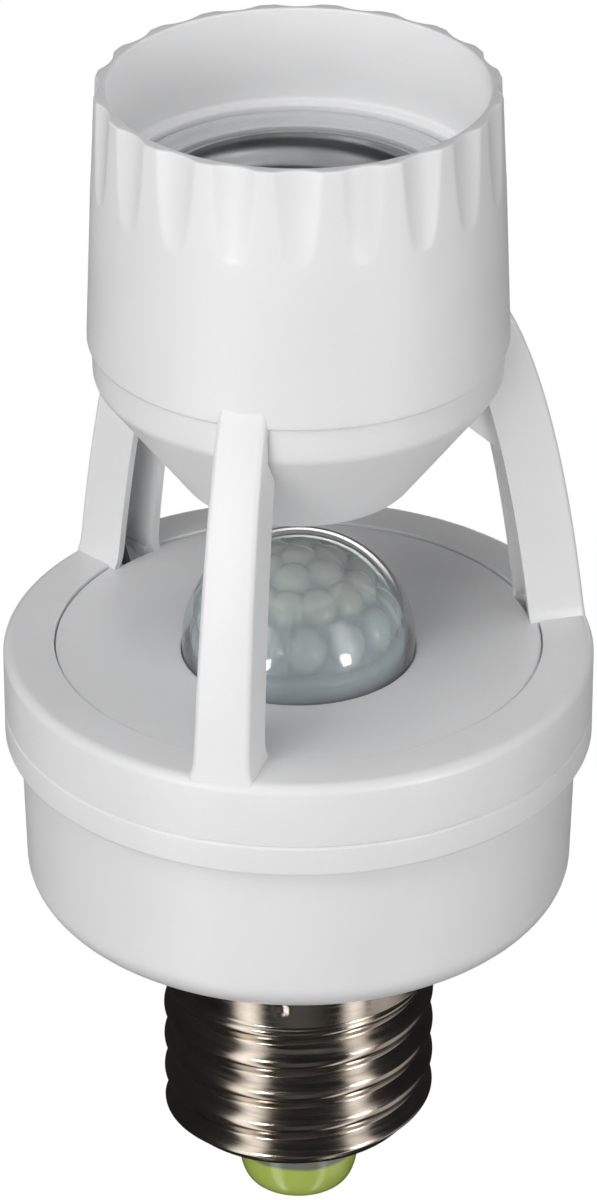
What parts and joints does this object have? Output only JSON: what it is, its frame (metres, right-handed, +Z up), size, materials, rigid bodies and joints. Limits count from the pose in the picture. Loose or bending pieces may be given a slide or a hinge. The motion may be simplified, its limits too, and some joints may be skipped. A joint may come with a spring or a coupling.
{
  "type": "motion sensor lamp holder adaptor",
  "caption": "Screw-in lamp holder adaptor: screw cap below a round sensor housing with a domed lens, and a fluted lamp socket held above it on arms.",
  "frame": {"origin": "centre of the tip contact lower face, at the foot of the screw cap", "axes": "+Z up the common axis of cap, lens and socket towards the socket mouth; -Y towards the picture camera"},
  "size_m": [0.0556, 0.0556, 0.1182],
  "materials": {
    "white_plastic": "smooth semi-gloss moulded plastic",
    "cream_plastic": "smooth insulating moulding",
    "lens_plastic": "milky translucent lens plastic",
    "nickel": "bright rolled nickel plate",
    "brass": "bare sheet brass",
    "green_glass": "clear green insulator",
    "green_board": "solder-masked board",
    "black_resin": "moulded black resin",
    "blue_resin": "blue sleeve",
    "yellow_resin": "yellow resin",
    "steel": "plated steel"
  },
  "bodies": {
    "housing": {"tip_contact": "brass", "cap_insulator": "green_glass", "screw_shell": "nickel", "lower_housing": "white_plastic", "upper_frame": "white_plastic", "socket_cone": "white_plastic", "sensor_plate": "white_plastic", "dome_lens": "lens_plastic", "lens_spacer": "black_resin", "control_board": "green_board", "power_board": "green_board", "control_board_screw_1": "steel", "control_board_screw_2": "steel", "power_board_screw_1": "steel", "power_board_screw_2": "steel", "sensor_can": "steel", "sensor_window": "black_resin", "light_sensor": "yellow_resin", "relay": "black_resin", "film_capacitor": "yellow_resin", "rectifier": "black_resin", "storage_capacitor": "blue_resin", "fuse_resistor": "blue_resin", "control_chip": "black_resin", "board_header": "black_resin", "socket_insert": "cream_plastic", "socket_shell": "nickel", "contact_rivet": "brass", "shell_rivet": "brass", "arm_lead_1": "black_resin", "arm_lead_2": "blue_resin", "tip_lead": "black_resin", "shell_lead": "blue_resin"},
    "contact": {"centre_contact": "brass"}
  },
  "joints": [
    {"name": "centre_contact_tilt", "type": "hinge", "parent": "housing", "child": "contact", "pos_m": [0.0074, 0, 0.0902], "axis": [0, 1, 0], "range_deg": [-8, 0], "stiffness_Nm_per_rad": 0.12}
  ]
}
